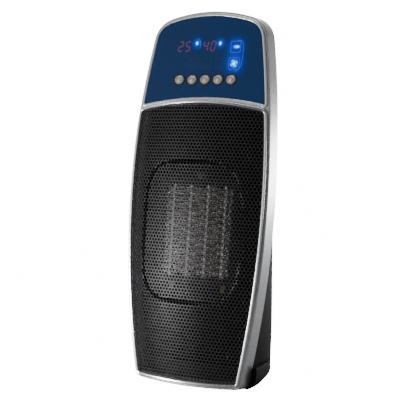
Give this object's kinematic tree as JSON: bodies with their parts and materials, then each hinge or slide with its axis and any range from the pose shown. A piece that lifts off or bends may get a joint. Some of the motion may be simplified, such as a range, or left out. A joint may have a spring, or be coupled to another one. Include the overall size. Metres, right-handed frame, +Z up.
{
  "type": "ceramic space heater",
  "caption": "Leaning barrel-shaped tower heater: silver frame, oval-dished black grille, blue lit control window with push buttons, black rear housing on a chamfered foot.",
  "frame": {"origin": "middle of the object's footprint on the floor it stands on", "axes": "+Z up, -Y the way the grille blows, +X to the right seen from behind the grille's left, that is to the viewer's right when facing the grille"},
  "size_m": [0.188, 0.1306, 0.4399],
  "materials": {
    "silver_paint": "silver metallic paint on a moulded frame",
    "bright_trim": "bright satin-silver plated trim",
    "grille_black": "satin black coated perforated sheet",
    "case_black": "semi-gloss black moulding",
    "window_blue": "glossy deep blue tinted window with lit display",
    "button_silver": "warm silver plated buttons",
    "board_green": "green circuit board",
    "inner_white": "white moulding",
    "inner_black": "matt black moulding",
    "heat_plastic": "brown heat-proof moulding",
    "fin_aluminium": "bare corrugated aluminium fins",
    "bar_aluminium": "bare aluminium heating bars",
    "brass": "plain brass",
    "steel": "zinc plated steel",
    "motor_steel": "laminated steel",
    "fan_plastic": "dark grey moulding",
    "filter_grey": "fine grey mesh",
    "rubber": "black rubber"
  },
  "bodies": {
    "casing": {"air_duct": "inner_black", "button_switch_1": "inner_black", "button_switch_2": "inner_black", "button_switch_3": "inner_black", "button_switch_4": "inner_black", "button_switch_5": "inner_black", "capacitor": "inner_black", "control_board": "board_green", "control_tray": "inner_black", "control_window": "window_blue", "cord_inlet_bush": "rubber", "display_module": "inner_white", "dust_filter": "filter_grey", "foot": "case_black", "foot_pad_1": "rubber", "foot_pad_2": "rubber", "foot_pad_3": "rubber", "foot_pad_4": "rubber", "foot_screw_1": "steel", "foot_screw_2": "steel", "foot_screw_3": "steel", "foot_screw_4": "steel", "front_frame": "silver_paint", "front_grille": "grille_black", "grille_ring": "bright_trim", "heater_bar_1": "bar_aluminium", "heater_bar_2": "bar_aluminium", "heater_bar_3": "bar_aluminium", "heater_bar_4": "bar_aluminium", "heater_fins_1": "fin_aluminium", "heater_fins_2": "fin_aluminium", "heater_fins_3": "fin_aluminium", "heater_fins_4": "fin_aluminium", "heater_fins_5": "fin_aluminium", "heater_holder": "heat_plastic", "heater_terminal_left": "brass", "heater_terminal_right": "brass", "inner_baffle": "inner_black", "motor_body": "motor_steel", "motor_bracket": "steel", "power_board": "board_green", "power_switch_body": "inner_black", "rear_housing": "case_black", "rear_screw_1": "steel", "rear_screw_2": "steel", "rear_screw_3": "steel", "rear_screw_4": "steel", "relay": "inner_black", "thermal_cutoff": "inner_black", "tip_switch": "inner_black", "window_bezel": "bright_trim"},
    "power_rocker": {"power_rocker": "case_black"},
    "tip_plunger": {"tip_plunger": "inner_white"},
    "fan": {"fan_impeller": "fan_plastic", "motor_shaft": "steel"},
    "button_1": {"button_1": "button_silver"},
    "button_2": {"button_2": "button_silver"},
    "button_3": {"button_3": "button_silver"},
    "button_4": {"button_4": "button_silver"},
    "button_5": {"button_5": "button_silver"}
  },
  "joints": [
    {"name": "button_1_press", "type": "slide", "parent": "casing", "child": "button_1", "axis": [0, 0.9838, -0.1791], "range_m": [0, 0.0008], "stiffness_N_per_m": 400},
    {"name": "button_2_press", "type": "slide", "parent": "casing", "child": "button_2", "axis": [0, 0.9838, -0.1791], "range_m": [0, 0.0008], "stiffness_N_per_m": 400},
    {"name": "button_3_press", "type": "slide", "parent": "casing", "child": "button_3", "axis": [0, 0.9838, -0.1791], "range_m": [0, 0.0008], "stiffness_N_per_m": 400},
    {"name": "button_4_press", "type": "slide", "parent": "casing", "child": "button_4", "axis": [0, 0.9838, -0.1791], "range_m": [0, 0.0008], "stiffness_N_per_m": 400},
    {"name": "button_5_press", "type": "slide", "parent": "casing", "child": "button_5", "axis": [0, 0.9838, -0.1791], "range_m": [0, 0.0008], "stiffness_N_per_m": 400},
    {"name": "fan_spin", "type": "hinge", "parent": "casing", "child": "fan", "pos_m": [0, -0.0401, 0.18254], "axis": [0, 0.9917, -0.1288], "continuous": true},
    {"name": "tip_plunger_drop", "type": "slide", "parent": "casing", "child": "tip_plunger", "axis": [0, 0, -1], "range_m": [0, 0.005], "stiffness_N_per_m": 30, "springref_m": 0.006},
    {"name": "power_rocker_tilt", "type": "hinge", "parent": "casing", "child": "power_rocker", "pos_m": [0.026, 0.05835, 0.052], "axis": [1, 0, 0], "range_deg": [0, 16]}
  ]
}
